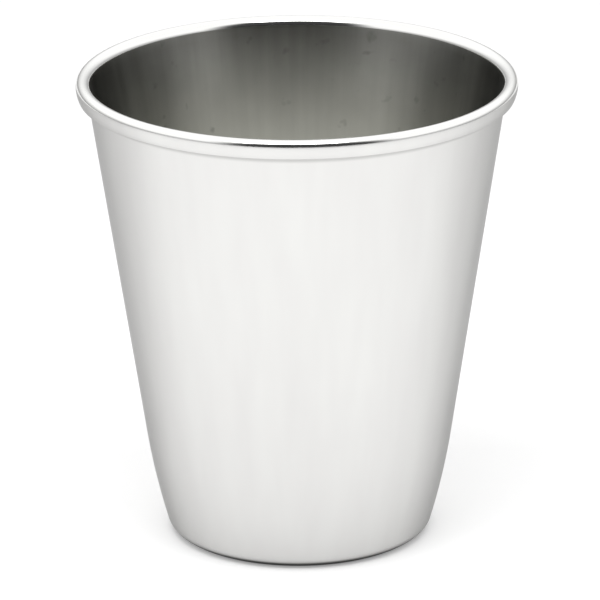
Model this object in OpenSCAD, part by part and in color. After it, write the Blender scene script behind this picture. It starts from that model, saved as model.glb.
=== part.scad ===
/* [Overall] */
// Height from the table to the top of the lip
height = 79.8; // [60:0.1:120]
// Diameter across the outside of the lip
lip_diameter = 74; // [62:0.5:100]
// Diameter at which the slope of the outer wall would meet the table
base_diameter = 46.5; // [40:0.5:58]

/* [Sheet steel] */
// Thickness of the outer shell
shell_sheet = 0.4; // [0.3:0.05:0.5]
// Thickness of the inner cup
cup_sheet = 0.4; // [0.3:0.05:0.5]

/* [Outer shell] */
// Angle by which the wall turns in towards its foot
foot_turn = 7.5; // [4:0.5:10]
// Radius of that turn
foot_radius = 120; // [80:5:160]
// Outside radius of the corner between wall and base
corner_radius = 2.75; // [2:0.25:5]
// Diameter of the panel that is pressed up in the base
panel_diameter = 30; // [18:1:32]
// Height by which the panel is pressed up
panel_rise = 0.6; // [0.3:0.1:1.5]
// Angle by which the hooked top edge runs past level
hook_angle = 20; // [0:5:40]

/* [Inner cup] */
// Distance from the slope of the outer wall to the inner cup, level with the inner floor
wall_gap = 2.8; // [2:0.1:5]
// Air gap between the pressed panel and the inner floor
floor_gap = 4; // [2:0.5:8]
// Inside radius of the corner between the inner wall and floor
floor_radius = 6; // [3:0.5:9]

/* [Lip] */
// Radius of the roll in front of its crown
front_radius = 1.1; // [1:0.05:1.4]
// Radius of the roll behind its crown, where it runs down into the cup
back_radius = 1.5; // [1.2:0.05:2]
// Height of the lip, from its crown to its lower edge
lip_height = 3.1; // [2.8:0.1:4.5]
// Distance by which the lower edge stands out from the outer wall
lip_stand = 1.55; // [1.2:0.05:1.7]
// Clearance between the two sheets where one is rolled over the other
seam_clearance = 0.05; // [0.03:0.01:0.12]

/* [Hidden] */
$fn = 180;

// Each arc stands this far over the outline that it runs into, so that the two cross
crossing = 0.001;
// Cutting outlines run this far past the sheet
reach = 10;

// The roll along the top of the lip: a wide arc behind the crown and a tight one in front of it
lip_radius = lip_diameter / 2;
crown_radius = lip_radius - front_radius;
back_centre = [crown_radius, height - back_radius];
front_centre = [crown_radius, height - front_radius];

// Each face of the two sheets follows the roll at an inset from its outside
cup_inset = cup_sheet;
hook_inset = cup_inset + seam_clearance;
shell_inset = hook_inset + shell_sheet;

// Directions along and square to a wall that leans out from the vertical by an angle
function up_wall(angle) = [sin(angle), cos(angle)];
function inward(angle) = [-cos(angle), sin(angle)];

// Point where a wall face runs into the back of the roll
function rim_point(angle, inset) = back_centre + (back_radius - inset) * inward(angle);

// Lean of a wall face that rises from a foot and runs into the roll
function lean(foot, inset) =
    let (span = back_centre - foot)
    atan2(span[0], span[1]) - asin((back_radius - inset) / norm(span));

// Radius of a wall face at a height
function wall_radius(angle, inset, z) =
    let (rim = rim_point(angle, inset))
    rim[0] + (z - rim[1]) * tan(angle);

// Outer shell: its corner stands on the table, its wall turns up out of the foot and runs into the hook
shell_lean = lean([base_diameter / 2, 0], shell_inset);
foot_angle = shell_lean + foot_turn;
corner_to_foot = foot_radius - corner_radius;
foot_top = corner_radius + corner_to_foot * sin(foot_angle) - foot_radius * sin(shell_lean);
foot_end = [wall_radius(shell_lean, shell_inset, foot_top), foot_top];
foot_centre = foot_end + foot_radius * inward(shell_lean);
shell_corner = foot_centre - corner_to_foot * inward(foot_angle);
hook_end = front_centre + reach * [cos(hook_angle), -sin(hook_angle)];

// Inner cup: it hangs in the shell with a gap at the wall and under the floor
cup_floor = panel_rise + shell_sheet + floor_gap;
cup_foot = [wall_radius(shell_lean, hook_inset, cup_floor) - wall_gap, cup_floor];
cup_lean = lean(cup_foot, cup_inset);
cup_corner_radius = floor_radius + cup_sheet;
cup_corner_z = cup_floor + cup_corner_radius;
cup_corner_wall = wall_radius(cup_lean, cup_inset, cup_corner_z);
cup_corner = [cup_corner_wall - cup_corner_radius / cos(cup_lean), cup_corner_z];

// Skirt of the lip: an arc that curves in from the front of the roll to the lower edge
edge_z = height - lip_height;
edge_radius = wall_radius(shell_lean, shell_inset, edge_z) + lip_stand;
skirt_run = lip_radius - edge_radius;
skirt_drop = front_centre[1] - edge_z;
skirt_radius = (skirt_run * skirt_run + skirt_drop * skirt_drop) / (2 * skirt_run);
skirt_bore = skirt_radius - cup_sheet;
skirt_centre = [lip_radius - skirt_radius, front_centre[1]];
skirt_angle = atan2(skirt_drop, edge_radius - skirt_centre[0]);
skirt_end = [cos(skirt_angle), -sin(skirt_angle)];
// Point in the hollow of the skirt, in line with its cut edge
skirt_hollow = skirt_centre + (skirt_bore - front_radius) * skirt_end;

// Points from the centre of the corner to the start of the straight wall, on a face of each piece
function shell_path(face) = [
    shell_corner,
    shell_corner - (corner_radius - face) * inward(foot_angle),
    foot_end + face * inward(shell_lean)
];
function cup_path(face) = [
    cup_corner,
    cup_corner - (cup_corner_radius - face) * inward(cup_lean)
];

// Round part of an outline
module disc(centre, radius) {
    translate(centre) circle(radius);
}

// Roll of the lip at an inset from its outside
module roll(inset) {
    intersection() {
        disc(back_centre, back_radius - inset + crossing);
        translate([crown_radius - reach, back_centre[1]]) square(reach);
    }
    disc(front_centre, front_radius - inset + 2 * crossing);
}

// Skirt below the front of the roll, from a start radius outwards
module skirt(radius, start) {
    intersection() {
        disc(skirt_centre, radius);
        translate([start, front_centre[1] - reach]) square(reach);
    }
}

// Corner of the shell and the turn in its wall, on one of its faces
module shell_rounds(face) {
    past_end = foot_end + 2 * up_wall(shell_lean);
    disc(shell_corner, corner_radius - face + 2 * crossing);
    intersection() {
        disc(foot_centre, foot_radius - face + crossing);
        polygon([
            shell_corner,
            shell_corner - 2 * corner_radius * inward(foot_angle),
            past_end - 2 * inward(shell_lean),
            past_end + 2 * inward(shell_lean)
        ]);
    }
}

// Corner of the inner cup on one of its faces
module cup_rounds(face) {
    disc(cup_corner, cup_corner_radius - face + crossing);
}

// Space inside a drawn cup: flat floor, a path round the corner and a wall that leans out past the lip
module inside(angle, inset, path, floor_z) {
    wall_top = rim_point(angle, inset) + reach * up_wall(angle);
    polygon(concat(
        [[0, floor_z], [path[0][0], floor_z]],
        path,
        [wall_top, [0, wall_top[1]]]
    ));
}

// Space outside a drawn cup, below a path that leaves the roll past the edge of the sheet
module outside(angle, inset, path, edge_path) {
    far = lip_radius + reach;
    level = edge_path[len(edge_path) - 1][1];
    polygon(concat(
        [rim_point(angle, inset), front_centre],
        edge_path,
        [[far, level], [far, -reach], [path[0][0], -reach]],
        path
    ));
}

// Block from which the floor and wall of a cup are cut
module blank(angle, inset, corner, radius, floor_z) {
    outer_side = back_centre + (back_radius - inset) / 2 * inward(angle);
    inner_side = outer_side + reach * inward(angle);
    polygon([
        [0, floor_z],
        [corner[0] + 2 * radius, floor_z],
        outer_side,
        inner_side,
        [0, inner_side[1]]
    ]);
}

// Panel pressed up in the base with sides at 45 degrees, as seen on one face of the sheet
module panel(face) {
    top = panel_rise + face;
    slope_sum = panel_diameter / 2 + face * sqrt(2);
    polygon([
        [0, -reach],
        [0, top],
        [slope_sum - top, top],
        [slope_sum + reach, -reach]
    ]);
}

// Drawn steel shell with its base, and a top edge that is hooked outwards under the lip
module outer_shell() {
    color("silver") rotate_extrude() difference() {
        union() {
            blank(shell_lean, shell_inset, shell_corner, corner_radius, 0);
            roll(hook_inset);
        }
        difference() {
            union() {
                inside(shell_lean, hook_inset, shell_path(shell_sheet), shell_sheet);
                shell_rounds(shell_sheet);
            }
            panel(shell_sheet);
        }
        difference() {
            outside(shell_lean, shell_inset, shell_path(0), [hook_end]);
            shell_rounds(0);
        }
        roll(shell_inset);
        panel(0);
    }
}

// Drawn steel cup whose top edge is rolled over the hook of the shell to make the lip
module inner_cup() {
    color("gainsboro") rotate_extrude() difference() {
        union() {
            blank(cup_lean, cup_inset, cup_corner, cup_corner_radius, cup_floor);
            roll(0);
            skirt(skirt_radius, skirt_hollow[0] - cup_sheet);
        }
        union() {
            inside(cup_lean, 0, cup_path(cup_sheet), cup_floor + cup_sheet);
            cup_rounds(cup_sheet);
        }
        difference() {
            outside(
                cup_lean, cup_inset, cup_path(0),
                [skirt_hollow, skirt_hollow + reach * skirt_end]
            );
            cup_rounds(0);
        }
        roll(cup_inset);
        skirt(skirt_bore, skirt_hollow[0]);
    }
}

outer_shell();
inner_cup();
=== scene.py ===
import math

import bpy
from mathutils import Matrix, Vector


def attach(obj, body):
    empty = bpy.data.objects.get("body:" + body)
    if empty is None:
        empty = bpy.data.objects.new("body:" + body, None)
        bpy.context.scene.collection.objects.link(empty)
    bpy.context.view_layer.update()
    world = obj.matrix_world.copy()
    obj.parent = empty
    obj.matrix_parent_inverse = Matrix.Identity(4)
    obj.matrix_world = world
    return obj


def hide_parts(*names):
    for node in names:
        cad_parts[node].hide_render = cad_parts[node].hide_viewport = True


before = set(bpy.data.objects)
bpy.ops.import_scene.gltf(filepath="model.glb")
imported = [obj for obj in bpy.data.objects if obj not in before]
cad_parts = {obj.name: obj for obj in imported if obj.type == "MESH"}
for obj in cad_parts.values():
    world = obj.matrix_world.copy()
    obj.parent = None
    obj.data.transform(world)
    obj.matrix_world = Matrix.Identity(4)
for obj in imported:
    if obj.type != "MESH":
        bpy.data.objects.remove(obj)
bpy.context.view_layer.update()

# Outer shell: the wall and base that hand and table touch, drawn from one blank of 0.4 mm stainless sheet.
# A shallow panel is pressed up in its base. Its top edge is hooked outwards, and the lip is rolled over it.
# Height and lip are a thousandth of a millimetre under the CAD sizes, so that the sheet stays in its box.
MM = 0.001  # sizes and places are written in millimetres
HEIGHT = 79.799
LIP_RADIUS = 36.999
BASE_RADIUS = 23.25
SHEET = 0.4
SEAM_CLEARANCE = 0.05
FRONT_RADIUS = 1.1
BACK_RADIUS = 1.5
FOOT_TURN = math.radians(7.5)
FOOT_RADIUS = 120.0
CORNER_RADIUS = 2.75
PANEL_RADIUS = 15.0
PANEL_RISE = 0.6
PRESS_RADIUS = 0.5
HOOK_ANGLE = math.radians(20)
QUARTER = math.radians(90)
EIGHTH = math.radians(45)
TURN_STEPS = 256
MERGE_DISTANCE = 0.002
EDGE_ROUNDING = 0.08
ROUNDING_STEPS = 2
CUT_EDGE_ANGLE = math.radians(60)
SMOOTH_ANGLE = math.radians(40)
FLAT_EDGES = 12
PRESS_EDGES = 4
RING_EDGES = 4
BEND_EDGES = 14
WALL_EDGES = 24
HOOK_BACK_EDGES = 10
HOOK_FRONT_EDGES = 8
WALL_END = 0.01

crown_radius = LIP_RADIUS - FRONT_RADIUS
back_centre = Vector((crown_radius, HEIGHT - BACK_RADIUS))
front_centre = Vector((crown_radius, HEIGHT - FRONT_RADIUS))
hook_inset = SHEET + SEAM_CLEARANCE
shell_inset = hook_inset + SHEET


def wall_lean(foot, inset):
    """Angle from the vertical of a wall face that rises from its foot into the back of the roll."""
    span = back_centre - Vector(foot)
    return math.atan2(span.x, span.y) - math.asin((BACK_RADIUS - inset) / span.length)


def square_to(lean):
    """Direction out of a leaning wall's outer face, as radius and height."""
    return Vector((math.cos(lean), -math.sin(lean)))


def wall_radius(lean, inset, height):
    """Radius of a wall face at a height."""
    rim = back_centre - (BACK_RADIUS - inset) * square_to(lean)
    return rim.x + (height - rim.y) * math.tan(lean)


def turn_sheet(name, faces_up, start, path):
    """Draw the shown face of a sheet from the axis to its cut edge, turn it round the axis and thicken it.

    A step of the path is a point to go straight to, or a centre and an angle to bend round.
    Each step ends with its count of edges.
    """
    bpy.ops.object.select_all(action="DESELECT")
    bpy.ops.mesh.primitive_plane_add(size=MM)
    piece = bpy.context.object
    piece.name = piece.data.name = name
    bpy.ops.object.mode_set(mode="EDIT")
    bpy.ops.mesh.merge(type="CENTER")
    bpy.ops.transform.translate(value=(start[0] * MM, 0, start[1] * MM))
    end = Vector(start)
    for *step, count in path:
        point = Vector(step[0])
        if len(step) == 1:
            move = (point - end) * MM / count
            for _ in range(count):
                bpy.ops.mesh.extrude_vertices_move(TRANSFORM_OT_translate={"value": (move.x, 0, move.y)})
            end = point
        else:
            centre = (point.x * MM, 0, point.y * MM)
            bpy.ops.mesh.spin(steps=count, angle=step[1], center=centre, axis=(0, 1, 0))
            end = point + Matrix.Rotation(step[1], 2) @ (end - point)
    bpy.ops.mesh.select_all(action="SELECT")
    bpy.ops.mesh.spin(steps=TURN_STEPS, angle=math.tau, center=(0, 0, 0), axis=(0, 0, 1))
    bpy.ops.mesh.select_all(action="SELECT")
    bpy.ops.mesh.remove_doubles(threshold=MERGE_DISTANCE * MM)
    bpy.ops.mesh.normals_make_consistent(inside=False)
    bpy.ops.object.mode_set(mode="OBJECT")
    middle = min(piece.data.polygons, key=lambda face: face.center.xy.length)
    if (middle.normal.z > 0) != faces_up:
        bpy.ops.object.mode_set(mode="EDIT")
        bpy.ops.mesh.flip_normals()
        bpy.ops.object.mode_set(mode="OBJECT")
    thickness = piece.modifiers.new("thickness", "SOLIDIFY")
    thickness.thickness = SHEET * MM
    thickness.offset = -1
    thickness.use_even_offset = True
    bpy.ops.object.modifier_apply(modifier=thickness.name)
    rounding = piece.modifiers.new("rounding", "BEVEL")
    rounding.width = EDGE_ROUNDING * MM
    rounding.segments = ROUNDING_STEPS
    rounding.angle_limit = CUT_EDGE_ANGLE
    bpy.ops.object.modifier_apply(modifier=rounding.name)
    bpy.ops.object.shade_smooth_by_angle(angle=SMOOTH_ANGLE)
    return piece


shell_lean = wall_lean((BASE_RADIUS, 0), shell_inset)
foot_lean = shell_lean + FOOT_TURN
corner_to_foot = FOOT_RADIUS - CORNER_RADIUS
foot_top = CORNER_RADIUS + corner_to_foot * math.sin(foot_lean) - FOOT_RADIUS * math.sin(shell_lean)
shell_foot = Vector((wall_radius(shell_lean, shell_inset, foot_top), foot_top))
foot_centre = shell_foot - FOOT_RADIUS * square_to(shell_lean)
shell_corner = foot_centre + corner_to_foot * square_to(foot_lean)
shell_rim = back_centre - (BACK_RADIUS - shell_inset) * square_to(shell_lean)
press_run = PRESS_RADIUS * math.tan(EIGHTH / 2)
press_top = Vector((PANEL_RADIUS - PANEL_RISE - press_run, PANEL_RISE))
press_foot = Vector((PANEL_RADIUS + press_run, PRESS_RADIUS))

# A wall starts and ends with a short edge, so that the bends at its ends don't shade its straight part
outer_shell = turn_sheet("outer_shell_sheet", False, (0, PANEL_RISE), [
    (press_top, FLAT_EDGES),
    (press_top - Vector((0, PRESS_RADIUS)), -EIGHTH, PRESS_EDGES),
    (press_foot - PRESS_RADIUS * Vector((math.cos(EIGHTH), math.sin(EIGHTH))), 1),
    (press_foot, EIGHTH, PRESS_EDGES),
    ((shell_corner.x, 0), RING_EDGES),
    (shell_corner, QUARTER - foot_lean, BEND_EDGES),
    (foot_centre, FOOT_TURN, BEND_EDGES),
    (shell_foot.lerp(shell_rim, WALL_END), 1),
    (shell_foot.lerp(shell_rim, 1 - WALL_END), WALL_EDGES),
    (shell_rim, 1),
    (back_centre, shell_lean - QUARTER, HOOK_BACK_EDGES),
    (front_centre, -QUARTER, HOOK_FRONT_EDGES),
    (front_centre, -HOOK_ANGLE, 1),
])

# Satin stainless steel: drawing leaves faint upright bands, and the wall is then rubbed with a fine belt.
# The eye sees a soft white sheen. The belt's lines are too fine to show, and are drawn coarser.
# Painted shade darkens the wall in the corner under the lip, and round the foot just above the table.
LINE_PITCH = 0.3
LINE_LENGTH = 60.0
LINE_RELIEF = 0.04
LINE_DEPTH = 0.01
BAND_WIDTH = 5.0
BAND_LENGTH = 70.0
# Range that nearly all of a noise pattern lies in
NOISE_LOW = 0.3
NOISE_HIGH = 0.7
SATIN_GREY = "#CBCAC9"
SATIN_PALE = "#D4D4D2"
SATIN_EDGE = "#B8B8B8"
SATIN_ROUGHNESS = (0.28, 0.31)
# Painted shade: a dark grey mixed into the wall's colour under the lip and round the foot, where shadow
# falls
PAINTED_SHADE_GREY = "#4A4A48"
UNDER_LIP_SHADE_START = 75.4
UNDER_LIP_SHADE_FULL = 76.1
UNDER_LIP_SHADE_COVER = 0.32
UNDER_LIP_SHADE_RADIUS = 36.0
FOOT_SHADE_FULL = 0.5
FOOT_SHADE_END = 1.3
FOOT_SHADE_COVER = 0.95
FOOT_UNSHADED_RADIUS = 20.1
FOOT_SHADE_RADIUS = 20.6


def linear(hex_colour):
    """Scene-linear colour of an sRGB hex value."""
    parts = [int(hex_colour[i:i + 2], 16) / 255 for i in (1, 3, 5)]
    return [c / 12.92 if c <= 0.04045 else ((c + 0.055) / 1.055) ** 2.4 for c in parts] + [1]


def add_node(tree, kind, settings, inputs):
    """Add a node with its settings; an input is a value, or the output that is linked to it."""
    node = tree.nodes.new(kind)
    for name, value in settings.items():
        setattr(node, name, value)
    for name, value in inputs.items():
        if isinstance(value, bpy.types.NodeSocket):
            tree.links.new(value, node.inputs[name])
        else:
            node.inputs[name].default_value = value
    return node


def empty_tree(owner):
    """Node tree of a new material or world, with nothing in it."""
    owner.use_nodes = True
    owner.node_tree.nodes.clear()
    return owner.node_tree


def turned_place(tree):
    """Place on a turned piece, the same place by axis, and the part of it that is level."""
    place = add_node(tree, "ShaderNodeTexCoord", {}, {}).outputs["Object"]
    axes = add_node(tree, "ShaderNodeSeparateXYZ", {}, {"Vector": place}).outputs
    level = add_node(tree, "ShaderNodeVectorMath", {"operation": "MULTIPLY"}, {
        0: place, 1: (1, 1, 0),
    }).outputs[0]
    return place, axes, level


def lines_round(tree, axes, across, length, pitch, detail):
    """Noise drawn out into lines round the tumbler, from their length and pitch in millimetres."""
    turned = add_node(tree, "ShaderNodeCombineXYZ", {}, {
        "X": axes["X"], "Y": axes["Y"], "Z": across,
    }).outputs[0]
    scale = (1 / (length * MM), 1 / (length * MM), 1 / (pitch * MM))
    stretched = add_node(tree, "ShaderNodeVectorMath", {"operation": "MULTIPLY"}, {
        0: turned, 1: scale,
    }).outputs[0]
    return add_node(tree, "ShaderNodeTexNoise", {}, {
        "Vector": stretched, "Scale": 1, "Detail": detail,
    }).outputs[0]


def bare_steel(tree, colour, edge_tint, pattern, roughness, relief, depth):
    """Bare steel whose roughness and relief follow a pattern, with a tint where it is seen edge on."""
    rough = add_node(tree, "ShaderNodeMapRange", {}, {
        "Value": pattern, "From Min": NOISE_LOW, "From Max": NOISE_HIGH,
        "To Min": roughness[0], "To Max": roughness[1],
    }).outputs[0]
    bump = add_node(tree, "ShaderNodeBump", {}, {
        "Height": pattern, "Strength": relief, "Distance": depth * MM,
    }).outputs[0]
    steel = add_node(tree, "ShaderNodeBsdfPrincipled", {}, {
        "Base Color": colour, "Metallic": 1, "Roughness": rough, "Normal": bump,
        "Specular Tint": linear(edge_tint),
    }).outputs[0]
    add_node(tree, "ShaderNodeOutputMaterial", {}, {"Surface": steel})


satin = bpy.data.materials.new("satin_stainless_steel")
tree = empty_tree(satin)
place, axes, level = turned_place(tree)
radius = add_node(tree, "ShaderNodeVectorMath", {"operation": "LENGTH"}, {0: level}).outputs["Value"]
along = add_node(tree, "ShaderNodeMath", {"operation": "ADD"}, {0: axes["Z"], 1: radius}).outputs[0]
lines = lines_round(tree, axes, along, LINE_LENGTH, LINE_PITCH, detail=3)
band_scale = (1 / (BAND_WIDTH * MM), 1 / (BAND_WIDTH * MM), 1 / (BAND_LENGTH * MM))
upright = add_node(tree, "ShaderNodeVectorMath", {"operation": "MULTIPLY"}, {
    0: place, 1: band_scale,
}).outputs[0]
bands = add_node(tree, "ShaderNodeTexNoise", {}, {"Vector": upright, "Scale": 1, "Detail": 2}).outputs[0]
colour = add_node(tree, "ShaderNodeMix", {"data_type": "RGBA"}, {
    0: bands, 6: linear(SATIN_GREY), 7: linear(SATIN_PALE),
}).outputs[2]
# Painted shade under the lip and round the foot: the wall's colour is mixed towards a dark grey there
near_lip = add_node(tree, "ShaderNodeMapRange", {"interpolation_type": "SMOOTHSTEP"}, {
    "Value": axes["Z"], "From Min": UNDER_LIP_SHADE_START * MM, "From Max": UNDER_LIP_SHADE_FULL * MM,
    "To Min": 0, "To Max": UNDER_LIP_SHADE_COVER,
}).outputs[0]
on_wall = add_node(tree, "ShaderNodeMath", {"operation": "LESS_THAN"}, {
    0: radius, 1: UNDER_LIP_SHADE_RADIUS * MM,
}).outputs[0]
painted_lip_shade = add_node(tree, "ShaderNodeMath", {"operation": "MULTIPLY"}, {
    0: near_lip, 1: on_wall,
}).outputs[0]
near_foot = add_node(tree, "ShaderNodeMapRange", {"interpolation_type": "SMOOTHSTEP"}, {
    "Value": axes["Z"], "From Min": FOOT_SHADE_FULL * MM, "From Max": FOOT_SHADE_END * MM,
    "To Min": FOOT_SHADE_COVER, "To Max": 0,
}).outputs[0]
off_table = add_node(tree, "ShaderNodeMapRange", {}, {
    "Value": radius, "From Min": FOOT_UNSHADED_RADIUS * MM, "From Max": FOOT_SHADE_RADIUS * MM,
    "To Min": 0, "To Max": 1,
}).outputs[0]
painted_foot_shade = add_node(tree, "ShaderNodeMath", {"operation": "MULTIPLY"}, {
    0: near_foot, 1: off_table,
}).outputs[0]
painted_shade = add_node(tree, "ShaderNodeMath", {"operation": "ADD"}, {0: painted_lip_shade, 1: painted_foot_shade}).outputs[0]
colour = add_node(tree, "ShaderNodeMix", {"data_type": "RGBA"}, {
    0: painted_shade, 6: colour, 7: linear(PAINTED_SHADE_GREY),
}).outputs[2]
bare_steel(tree, colour, SATIN_EDGE, lines, SATIN_ROUGHNESS, LINE_RELIEF, LINE_DEPTH)
outer_shell.data.materials.append(satin)
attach(outer_shell, "root")
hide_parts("outer_shell")

# Inner cup: it holds the drink, and hangs in the shell with air round its wall and under its floor.
# It is drawn from 0.4 mm stainless sheet, and its top edge is rolled out over the hook to make the lip.
WALL_GAP = 2.8
FLOOR_GAP = 4.0
FLOOR_RADIUS = 6.0
LIP_HEIGHT = 3.1
LIP_STAND = 1.55
FLOOR_CORNER_EDGES = 20

cup_floor = PANEL_RISE + SHEET + FLOOR_GAP
cup_lean = wall_lean((wall_radius(shell_lean, hook_inset, cup_floor) - WALL_GAP, cup_floor), SHEET)
corner_height = cup_floor + SHEET + FLOOR_RADIUS
corner_radius = wall_radius(cup_lean, 0, corner_height) - FLOOR_RADIUS / math.cos(cup_lean)
cup_corner = Vector((corner_radius, corner_height))
cup_foot = cup_corner + FLOOR_RADIUS * square_to(cup_lean)
cup_rim = back_centre - BACK_RADIUS * square_to(cup_lean)
skirt_drop = LIP_HEIGHT - FRONT_RADIUS
skirt_run = LIP_RADIUS - LIP_STAND - wall_radius(shell_lean, shell_inset, HEIGHT - LIP_HEIGHT)
skirt_radius = (skirt_run ** 2 + skirt_drop ** 2) / (2 * skirt_run)
skirt_centre = Vector((LIP_RADIUS - skirt_radius, front_centre.y))
skirt_angle = math.asin(skirt_drop / skirt_radius)

inner_cup = turn_sheet("inner_cup_sheet", True, (0, cup_floor + SHEET), [
    ((cup_corner.x, cup_floor + SHEET), FLAT_EDGES),
    (cup_corner, QUARTER - cup_lean, FLOOR_CORNER_EDGES),
    (cup_foot.lerp(cup_rim, WALL_END), 1),
    (cup_foot.lerp(cup_rim, 1 - WALL_END), WALL_EDGES),
    (cup_rim, 1),
    (back_centre, cup_lean - QUARTER, BEND_EDGES),
    (front_centre, -QUARTER, BEND_EDGES),
    (skirt_centre, -skirt_angle, BEND_EDGES),
])

# Drawn stainless steel: the punch leaves faint upright streaks inside, with soft blotches between them.
# Its colour is painted darker near the lip and paler lower down, as painted shade for the dark reflection
# near the lip.
# The eye sees a grey surface with soft streaks from the lip to the floor, and a few faint dark marks.
STREAK_WIDTH = 2.5
STREAK_LENGTH = 45.0
STREAK_RELIEF = 0.02
STREAK_DEPTH = 0.02
BLOTCH_SIZE = 9.0
MARK_SPACING = 3.0
MARK_START = 0.66
MARK_FULL = 0.76
MARK_SHADE = 0.6
WEAR_LOW = 0.1
WEAR_HIGH = 0.4
WORN_SHADE = 0.19
FRESH_SHADE = 0.31
# Painted shade: heights between which the inside goes from paler below to darker towards the lip
INSIDE_SHADE_START = 54.0
INSIDE_SHADE_FULL = 77.0
DEEP_PAINTED_PALENESS = 0.76
DRAWN_DARK = "#666663"
DRAWN_PALE = "#DCDCD6"
DRAWN_EDGE = "#7C7C7C"
DRAWN_ROUGHNESS = (0.28, 0.31)

drawn = bpy.data.materials.new("drawn_stainless_steel")
tree = empty_tree(drawn)
place, axes, level = turned_place(tree)
around = add_node(tree, "ShaderNodeVectorMath", {"operation": "NORMALIZE"}, {0: level}).outputs[0]
wrap = add_node(tree, "ShaderNodeVectorMath", {"operation": "SCALE"}, {
    0: around, "Scale": crown_radius / STREAK_WIDTH,
}).outputs[0]
wrap_axes = add_node(tree, "ShaderNodeSeparateXYZ", {}, {"Vector": wrap}).outputs
rise = add_node(tree, "ShaderNodeMath", {"operation": "MULTIPLY"}, {
    0: axes["Z"], 1: 1 / (STREAK_LENGTH * MM),
}).outputs[0]
upright = add_node(tree, "ShaderNodeCombineXYZ", {}, {
    "X": wrap_axes["X"], "Y": wrap_axes["Y"], "Z": rise,
}).outputs[0]
streaks = add_node(tree, "ShaderNodeTexNoise", {}, {"Vector": upright, "Scale": 1, "Detail": 3}).outputs[0]
blotches = add_node(tree, "ShaderNodeTexNoise", {}, {
    "Vector": place, "Scale": 1 / (BLOTCH_SIZE * MM), "Detail": 3,
}).outputs[0]
marks = add_node(tree, "ShaderNodeTexNoise", {}, {
    "Vector": place, "Scale": 1 / (MARK_SPACING * MM), "Detail": 2,
}).outputs[0]
unmarked = add_node(tree, "ShaderNodeMapRange", {}, {
    "Value": marks, "From Min": MARK_START, "From Max": MARK_FULL, "To Min": 1, "To Max": MARK_SHADE,
}).outputs[0]
wear = add_node(tree, "ShaderNodeMath", {"operation": "MULTIPLY"}, {0: streaks, 1: blotches}).outputs[0]
wear = add_node(tree, "ShaderNodeMapRange", {}, {
    "Value": wear, "From Min": WEAR_LOW, "From Max": WEAR_HIGH, "To Min": WORN_SHADE, "To Max": FRESH_SHADE,
}).outputs[0]
# Painted shade: the colour is paler lower down and darker towards the lip
depth = add_node(tree, "ShaderNodeMapRange", {}, {
    "Value": axes["Z"], "From Min": INSIDE_SHADE_START * MM, "From Max": INSIDE_SHADE_FULL * MM,
    "To Min": DEEP_PAINTED_PALENESS, "To Max": 0,
}).outputs[0]
shade = add_node(tree, "ShaderNodeMath", {"operation": "ADD"}, {0: wear, 1: depth}).outputs[0]
shade = add_node(tree, "ShaderNodeMath", {"operation": "MULTIPLY"}, {0: shade, 1: unmarked}).outputs[0]
colour = add_node(tree, "ShaderNodeMix", {"data_type": "RGBA"}, {
    0: shade, 6: linear(DRAWN_DARK), 7: linear(DRAWN_PALE),
}).outputs[2]
bare_steel(tree, colour, DRAWN_EDGE, streaks, DRAWN_ROUGHNESS, STREAK_RELIEF, STREAK_DEPTH)

# Polished stainless steel: rolling and buffing leave the lip bright, with fine scratches round it.
# The eye sees a white ring with crisp dark and bright lines, which are the room mirrored in it.
# The scratches are too fine to show, and are drawn coarser.
SCRATCH_PITCH = 0.3
SCRATCH_LENGTH = 25.0
SCRATCH_RELIEF = 0.02
SCRATCH_DEPTH = 0.01
SCRATCH_SLANT = 0.25
POLISHED_GREY = "#E2E2E0"
POLISHED_PALE = "#E9E9E7"
POLISHED_EDGE = "#FFFFFF"
POLISHED_ROUGHNESS = (0.09, 0.15)

polished = bpy.data.materials.new("polished_stainless_steel")
tree = empty_tree(polished)
_, axes, level = turned_place(tree)
radius = add_node(tree, "ShaderNodeVectorMath", {"operation": "LENGTH"}, {0: level}).outputs["Value"]
across = add_node(tree, "ShaderNodeMath", {"operation": "MULTIPLY_ADD"}, {
    0: axes["Z"], 1: SCRATCH_SLANT, 2: radius,
}).outputs[0]
scratches = lines_round(tree, axes, across, SCRATCH_LENGTH, SCRATCH_PITCH, detail=2)
colour = add_node(tree, "ShaderNodeMix", {"data_type": "RGBA"}, {
    0: scratches, 6: linear(POLISHED_GREY), 7: linear(POLISHED_PALE),
}).outputs[2]
bare_steel(tree, colour, POLISHED_EDGE, scratches, POLISHED_ROUGHNESS, SCRATCH_RELIEF, SCRATCH_DEPTH)

# The roll of the lip is polished, and its skirt is rubbed with the wall, so that it is satin too
SATIN_ABOVE_SKIRT = 0.3

finishes = [drawn, polished, satin]
for finish in finishes:
    inner_cup.data.materials.append(finish)
skirt_top = front_centre.y + SATIN_ABOVE_SKIRT
for face in inner_cup.data.polygons:
    if face.center.xy.length > crown_radius * MM and face.center.z < skirt_top * MM:
        face.material_index = finishes.index(satin)
    elif face.center.z > cup_rim.y * MM:
        face.material_index = finishes.index(polished)
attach(inner_cup, "root")
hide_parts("inner_cup")

# Floor: a plain white table of matt acrylic. Its glow is painted light, which washes out shadows other than
# the base's.
# The painted light is stronger in front than behind, and a painted shadow leaves no glow under the base and
# just round it.
FLOOR_SIZE = 6000.0
FLOOR_WHITE = "#EBEBEB"
FLOOR_ROUGHNESS = 0.9
FLOOR_GLOSS = 0.1
GLOW_WHITE = "#FFFFFF"
PAINTED_SHADOW_RADIUS = 20.5
FULL_GLOW_RADIUS = 20.8
GLOW_REACH = 35.0
FRONT_GLOW = 0.32
BACK_GLOW = 0.11

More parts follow.
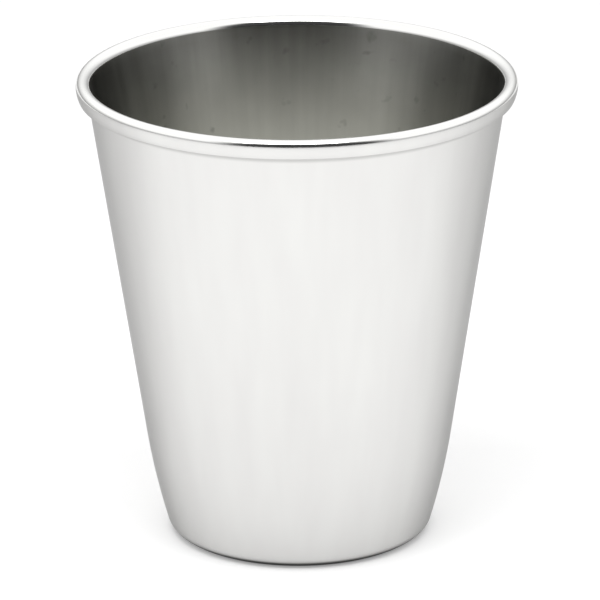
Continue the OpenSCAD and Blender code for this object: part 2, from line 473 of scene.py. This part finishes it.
bpy.ops.object.select_all(action="DESELECT")
bpy.ops.mesh.primitive_plane_add(size=FLOOR_SIZE * MM)
floor = bpy.context.object
floor.name = "floor"
white = bpy.data.materials.new("white_matt_acrylic")
tree = empty_tree(white)
place = add_node(tree, "ShaderNodeTexCoord", {}, {}).outputs["Object"]
radius = add_node(tree, "ShaderNodeVectorMath", {"operation": "LENGTH"}, {0: place}).outputs["Value"]
# Painted shadow: the floor doesn't glow under the base and in a thin ring just round it
outside_painted_shadow = add_node(tree, "ShaderNodeMapRange", {}, {
    "Value": radius, "From Min": PAINTED_SHADOW_RADIUS * MM, "From Max": FULL_GLOW_RADIUS * MM,
    "To Min": 0, "To Max": 1,
}).outputs[0]
back = add_node(tree, "ShaderNodeSeparateXYZ", {}, {"Vector": place}).outputs["Y"]
# Painted light: the glow is stronger in front of the tumbler than behind it
painted_front_light = add_node(tree, "ShaderNodeMapRange", {}, {
    "Value": back, "From Min": -GLOW_REACH * MM, "From Max": GLOW_REACH * MM,
    "To Min": FRONT_GLOW, "To Max": BACK_GLOW,
}).outputs[0]
glow = add_node(tree, "ShaderNodeMath", {"operation": "MULTIPLY"}, {0: outside_painted_shadow, 1: painted_front_light}).outputs[0]
acrylic = add_node(tree, "ShaderNodeBsdfPrincipled", {}, {
    "Base Color": linear(FLOOR_WHITE), "Roughness": FLOOR_ROUGHNESS, "Specular IOR Level": FLOOR_GLOSS,
    "Emission Color": linear(GLOW_WHITE), "Emission Strength": glow,
}).outputs[0]
add_node(tree, "ShaderNodeOutputMaterial", {}, {"Surface": acrylic})
floor.data.materials.append(white)

# Light: a white light tent all round the table, dimmer near the table, with an opening for the camera.
# A softbox hangs over the table, in front of the tumbler.
TENT_WHITE = "#FFFFFF"
# Sines of the angles above the table between which the cloth brightens
TENT_FOOT = -0.05
TENT_SHOULDER = 0.45
TENT_DIM = 0.35
TENT_BRIGHT = 1.28
OPENING_SIDE = math.radians(4)
OPENING_RISE = math.radians(20)
OPENING_EDGE = math.radians(50)
OPENING_CORE = math.radians(30)
OPENING_BRIGHT = 0.05
SOFTBOX_PLACE = Vector((-20.0, -160.0, 450.0))
SOFTBOX_WIDTH = 300.0
SOFTBOX_DEPTH = 200.0
SOFTBOX_WATTS = 0.82

tent = bpy.data.worlds.new("light_tent")
bpy.context.scene.world = tent
tree = empty_tree(tent)
towards = add_node(tree, "ShaderNodeTexCoord", {}, {}).outputs["Generated"]
rise = add_node(tree, "ShaderNodeSeparateXYZ", {}, {"Vector": towards}).outputs["Z"]
cloth = add_node(tree, "ShaderNodeMapRange", {"interpolation_type": "SMOOTHSTEP"}, {
    "Value": rise, "From Min": TENT_FOOT, "From Max": TENT_SHOULDER,
    "To Min": TENT_DIM, "To Max": TENT_BRIGHT,
}).outputs[0]
to_opening = Vector((
    math.sin(OPENING_SIDE) * math.cos(OPENING_RISE),
    -math.cos(OPENING_SIDE) * math.cos(OPENING_RISE),
    math.sin(OPENING_RISE),
))
nearness = add_node(tree, "ShaderNodeVectorMath", {"operation": "DOT_PRODUCT"}, {
    0: towards, 1: to_opening,
}).outputs["Value"]
closed = add_node(tree, "ShaderNodeMapRange", {"interpolation_type": "SMOOTHSTEP"}, {
    "Value": nearness, "From Min": math.cos(OPENING_EDGE), "From Max": math.cos(OPENING_CORE),
    "To Min": 1, "To Max": OPENING_BRIGHT,
}).outputs[0]
strength = add_node(tree, "ShaderNodeMath", {"operation": "MULTIPLY"}, {0: cloth, 1: closed}).outputs[0]
sky = add_node(tree, "ShaderNodeBackground", {}, {
    "Color": linear(TENT_WHITE), "Strength": strength,
}).outputs[0]
add_node(tree, "ShaderNodeOutputWorld", {}, {"Surface": sky})
bpy.ops.object.light_add(type="AREA", location=SOFTBOX_PLACE * MM)
softbox = bpy.context.object
softbox.data.shape = "RECTANGLE"
softbox.data.size = SOFTBOX_WIDTH * MM
softbox.data.size_y = SOFTBOX_DEPTH * MM
softbox.data.energy = SOFTBOX_WATTS
bpy.context.scene.view_settings.view_transform = "Standard"

# Camera: a long lens about a metre away and 0.3 m above the lip, which gives the photograph's view.
# It looks at the middle of the tumbler, and is rolled very slightly, as the photograph is.
CAMERA_RISE = math.radians(19.14)
CAMERA_DISTANCE = 1036.0
CAMERA_ROLL = math.radians(-0.38)
# Height of the point on the axis from which the camera's rise and distance are measured
PIVOT_HEIGHT = 37.0
AIM = Vector((0.28, 0, 40.18))
LENS = 367.0
SENSOR = 36.0
FARTHEST = 20000.0

to_camera = Vector((0, -math.cos(CAMERA_RISE), math.sin(CAMERA_RISE)))
stand = (to_camera * CAMERA_DISTANCE + Vector((0, 0, PIVOT_HEIGHT))) * MM
sight = (AIM * MM - stand).to_track_quat("-Z", "Y").to_matrix()
bpy.ops.object.camera_add(location=stand)
camera = bpy.context.object
camera.rotation_euler = (sight @ Matrix.Rotation(CAMERA_ROLL, 3, "Z")).to_euler()
camera.data.lens = LENS
camera.data.sensor_width = SENSOR
camera.data.clip_end = FARTHEST * MM
bpy.context.scene.camera = camera
